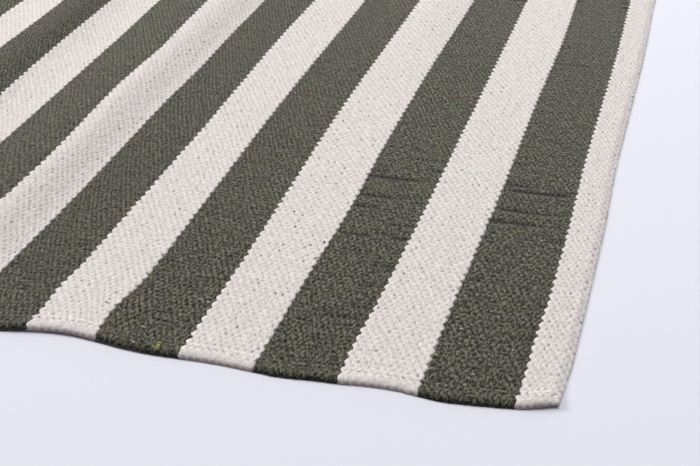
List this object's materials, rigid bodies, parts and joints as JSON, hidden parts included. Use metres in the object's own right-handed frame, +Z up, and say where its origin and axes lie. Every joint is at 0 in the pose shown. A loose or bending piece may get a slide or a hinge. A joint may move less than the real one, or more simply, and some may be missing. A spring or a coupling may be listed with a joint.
{
  "type": "striped flat-woven cotton rug",
  "caption": "Rectangular flat-woven rug in broad dark and cream stripes along its length, hemmed at both ends and lying on the floor in a few long low waves.",
  "frame": {"origin": "on the floor under the middle of the rug's extent", "axes": "+Y along the stripes, away from the near hem; +X across them, towards the right-hand selvedge; +Z up"},
  "size_m": [0.6836, 1.4048, 0.0115],
  "materials": {
    "cream_cotton": "matte flat-woven cotton, undyed cream, in broad stripes",
    "dark_cotton": "matte flat-woven cotton, heathered olive grey, in broad stripes"
  },
  "bodies": {
    "root": {"rug": "cream_cotton"}
  },
  "joints": []
}
